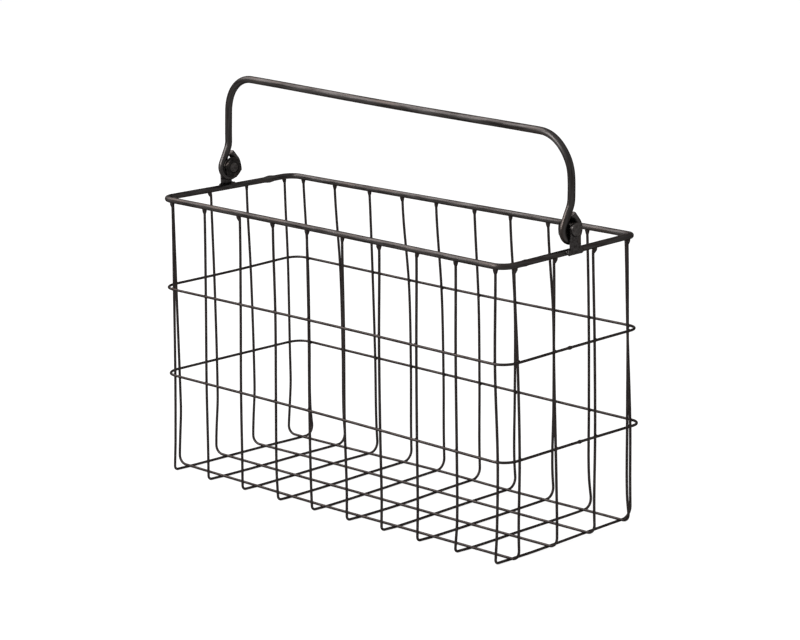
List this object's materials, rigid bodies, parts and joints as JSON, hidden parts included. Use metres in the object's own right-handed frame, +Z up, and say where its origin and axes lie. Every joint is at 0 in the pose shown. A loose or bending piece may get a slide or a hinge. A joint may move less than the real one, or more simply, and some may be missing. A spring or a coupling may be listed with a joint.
{
  "type": "wire magazine basket",
  "caption": "Open wire basket for magazines, with a thick rim rod, two belt wires round the walls, a wire grid floor and a rod handle that swings on a bolt at each end.",
  "frame": {"origin": "on the ground under the middle of the basket", "axes": "+X along the basket, towards its right end; +Y across it, towards its back; +Z up"},
  "size_m": [0.3728, 0.1424, 0.2991],
  "materials": {
    "thin_wire": "dark antiqued iron wire, semi-gloss, faintly mottled",
    "rim_rod": "dark antiqued iron rod and strap, semi-gloss, brown-grey where the light catches it",
    "handle_rod": "dark antiqued iron rod, semi-gloss, streaked along its length",
    "fasteners": "blackened steel, semi-gloss"
  },
  "bodies": {
    "basket": {"rim": "rim_rod", "upper_belt": "thin_wire", "lower_belt": "thin_wire", "cross_wire_01": "thin_wire", "cross_wire_02": "thin_wire", "cross_wire_03": "thin_wire", "cross_wire_04": "thin_wire", "cross_wire_05": "thin_wire", "cross_wire_06": "thin_wire", "cross_wire_07": "thin_wire", "cross_wire_08": "thin_wire", "cross_wire_09": "thin_wire", "cross_wire_10": "thin_wire", "long_wire_1": "thin_wire", "long_wire_2": "thin_wire", "long_wire_3": "thin_wire", "long_wire_4": "thin_wire", "left_lug": "rim_rod", "left_bolt": "fasteners", "left_washer": "fasteners", "left_nut": "fasteners", "right_lug": "rim_rod", "right_bolt": "fasteners", "right_washer": "fasteners", "right_nut": "fasteners"},
    "handle": {"handle": "handle_rod"}
  },
  "joints": [
    {"name": "handle_swing", "type": "hinge", "parent": "basket", "child": "handle", "pos_m": [0, 0.0018, 0.226], "axis": [1, 0, 0], "range_deg": [-98, 98]}
  ]
}
